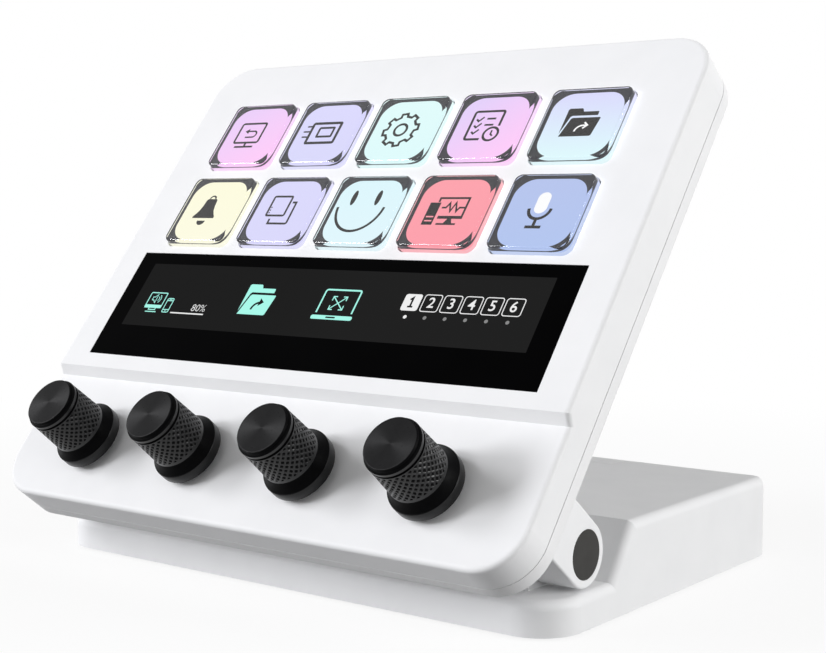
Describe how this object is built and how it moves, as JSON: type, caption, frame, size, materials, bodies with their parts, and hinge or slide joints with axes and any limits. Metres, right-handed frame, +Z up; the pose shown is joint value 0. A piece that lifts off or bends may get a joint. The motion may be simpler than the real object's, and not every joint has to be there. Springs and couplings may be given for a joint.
{
  "type": "macro keypad",
  "caption": "Tilting desk keypad with clear display keys, a touch strip and push-and-turn knobs, hinged on a weighted wedge base.",
  "frame": {"origin": "centre of the base's footprint, on the desk", "axes": "+X to the user's right along the hinge axis, +Y away from the user, +Z up"},
  "size_m": [0.1338, 0.1099, 0.1097],
  "materials": {
    "white_plastic": "satin moulded ABS",
    "black_glass": "polished black cover glass",
    "display": "liquid-crystal panel",
    "circuit_board": "green solder mask",
    "silicone": "moulded silicone sheet",
    "clear_plastic": "polished clear polycarbonate",
    "black_plastic": "fine texture",
    "black_anodised": "black anodised aluminium",
    "spun_disc": "spun black anodised aluminium",
    "steel": "plated",
    "brass": "turned",
    "dark_plastic": "satin",
    "foot_rubber": "matt"
  },
  "bodies": {
    "base": {"base_shell": "white_plastic", "base_plate": "white_plastic", "ballast_plate": "steel", "rubber_feet": "foot_rubber", "base_screws": "steel", "rear_cover": "white_plastic", "hinge_block_left": "white_plastic", "hinge_block_right": "white_plastic", "friction_bushes": "brass"},
    "head": {"front_shell": "white_plastic", "back_shell": "white_plastic", "screen_glass": "black_glass", "lcd_panel": "display", "key_membrane": "silicone", "main_board": "circuit_board", "usb_socket": "steel", "encoder_bodies": "steel", "encoder_nuts": "steel", "hinge_arm_left": "white_plastic", "hinge_arm_right": "white_plastic", "hinge_cap_left": "dark_plastic", "hinge_cap_right": "dark_plastic", "hinge_pins": "steel", "head_screws": "steel"},
    "key_1": {"key_cap_1": "clear_plastic", "key_carrier_1": "black_plastic"},
    "key_2": {"key_cap_2": "clear_plastic", "key_carrier_2": "black_plastic"},
    "key_3": {"key_cap_3": "clear_plastic", "key_carrier_3": "black_plastic"},
    "key_4": {"key_cap_4": "clear_plastic", "key_carrier_4": "black_plastic"},
    "key_5": {"key_cap_5": "clear_plastic", "key_carrier_5": "black_plastic"},
    "key_6": {"key_cap_6": "clear_plastic", "key_carrier_6": "black_plastic"},
    "key_7": {"key_cap_7": "clear_plastic", "key_carrier_7": "black_plastic"},
    "key_8": {"key_cap_8": "clear_plastic", "key_carrier_8": "black_plastic"},
    "key_9": {"key_cap_9": "clear_plastic", "key_carrier_9": "black_plastic"},
    "key_10": {"key_cap_10": "clear_plastic", "key_carrier_10": "black_plastic"},
    "push_1": {"switch_plunger_1": "steel"},
    "dial_1": {"encoder_shaft_1": "steel", "knob_1": "black_anodised", "knob_disc_1": "spun_disc"},
    "push_2": {"switch_plunger_2": "steel"},
    "dial_2": {"encoder_shaft_2": "steel", "knob_2": "black_anodised", "knob_disc_2": "spun_disc"},
    "push_3": {"switch_plunger_3": "steel"},
    "dial_3": {"encoder_shaft_3": "steel", "knob_3": "black_anodised", "knob_disc_3": "spun_disc"},
    "push_4": {"switch_plunger_4": "steel"},
    "dial_4": {"encoder_shaft_4": "steel", "knob_4": "black_anodised", "knob_disc_4": "spun_disc"}
  },
  "joints": [
    {"name": "head_tilt", "type": "hinge", "parent": "base", "child": "head", "pos_m": [0, -0.0309, 0.0138], "axis": [1, 0, 0], "range_deg": [-46, 15]},
    {"name": "key_1_press", "type": "slide", "parent": "head", "child": "key_1", "axis": [0, 0.7793, -0.6266], "range_m": [0, 0.0006], "stiffness_N_per_m": 650, "springref_m": -0.0003},
    {"name": "key_2_press", "type": "slide", "parent": "head", "child": "key_2", "axis": [0, 0.7793, -0.6266], "range_m": [0, 0.0006], "stiffness_N_per_m": 650, "springref_m": -0.0003},
    {"name": "key_3_press", "type": "slide", "parent": "head", "child": "key_3", "axis": [0, 0.7793, -0.6266], "range_m": [0, 0.0006], "stiffness_N_per_m": 650, "springref_m": -0.0003},
    {"name": "key_4_press", "type": "slide", "parent": "head", "child": "key_4", "axis": [0, 0.7793, -0.6266], "range_m": [0, 0.0006], "stiffness_N_per_m": 650, "springref_m": -0.0003},
    {"name": "key_5_press", "type": "slide", "parent": "head", "child": "key_5", "axis": [0, 0.7793, -0.6266], "range_m": [0, 0.0006], "stiffness_N_per_m": 650, "springref_m": -0.0003},
    {"name": "key_6_press", "type": "slide", "parent": "head", "child": "key_6", "axis": [0, 0.7793, -0.6266], "range_m": [0, 0.0006], "stiffness_N_per_m": 650, "springref_m": -0.0003},
    {"name": "key_7_press", "type": "slide", "parent": "head", "child": "key_7", "axis": [0, 0.7793, -0.6266], "range_m": [0, 0.0006], "stiffness_N_per_m": 650, "springref_m": -0.0003},
    {"name": "key_8_press", "type": "slide", "parent": "head", "child": "key_8", "axis": [0, 0.7793, -0.6266], "range_m": [0, 0.0006], "stiffness_N_per_m": 650, "springref_m": -0.0003},
    {"name": "key_9_press", "type": "slide", "parent": "head", "child": "key_9", "axis": [0, 0.7793, -0.6266], "range_m": [0, 0.0006], "stiffness_N_per_m": 650, "springref_m": -0.0003},
    {"name": "key_10_press", "type": "slide", "parent": "head", "child": "key_10", "axis": [0, 0.7793, -0.6266], "range_m": [0, 0.0006], "stiffness_N_per_m": 650, "springref_m": -0.0003},
    {"name": "knob_1_push", "type": "slide", "parent": "head", "child": "push_1", "axis": [0, 0.7793, -0.6266], "range_m": [0, 0.0005], "stiffness_N_per_m": 3000, "springref_m": -0.0003},
    {"name": "knob_1_turn", "type": "hinge", "parent": "push_1", "child": "dial_1", "pos_m": [-0.0445, -0.05091, 0.02642], "axis": [0, -0.7793, 0.6266], "continuous": true},
    {"name": "knob_2_push", "type": "slide", "parent": "head", "child": "push_2", "axis": [0, 0.7793, -0.6266], "range_m": [0, 0.0005], "stiffness_N_per_m": 3000, "springref_m": -0.0003},
    {"name": "knob_2_turn", "type": "hinge", "parent": "push_2", "child": "dial_2", "pos_m": [-0.01483, -0.05091, 0.02642], "axis": [0, -0.7793, 0.6266], "continuous": true},
    {"name": "knob_3_push", "type": "slide", "parent": "head", "child": "push_3", "axis": [0, 0.7793, -0.6266], "range_m": [0, 0.0005], "stiffness_N_per_m": 3000, "springref_m": -0.0003},
    {"name": "knob_3_turn", "type": "hinge", "parent": "push_3", "child": "dial_3", "pos_m": [0.01483, -0.05091, 0.02642], "axis": [0, -0.7793, 0.6266], "continuous": true},
    {"name": "knob_4_push", "type": "slide", "parent": "head", "child": "push_4", "axis": [0, 0.7793, -0.6266], "range_m": [0, 0.0005], "stiffness_N_per_m": 3000, "springref_m": -0.0003},
    {"name": "knob_4_turn", "type": "hinge", "parent": "push_4", "child": "dial_4", "pos_m": [0.0445, -0.05091, 0.02642], "axis": [0, -0.7793, 0.6266], "continuous": true}
  ]
}
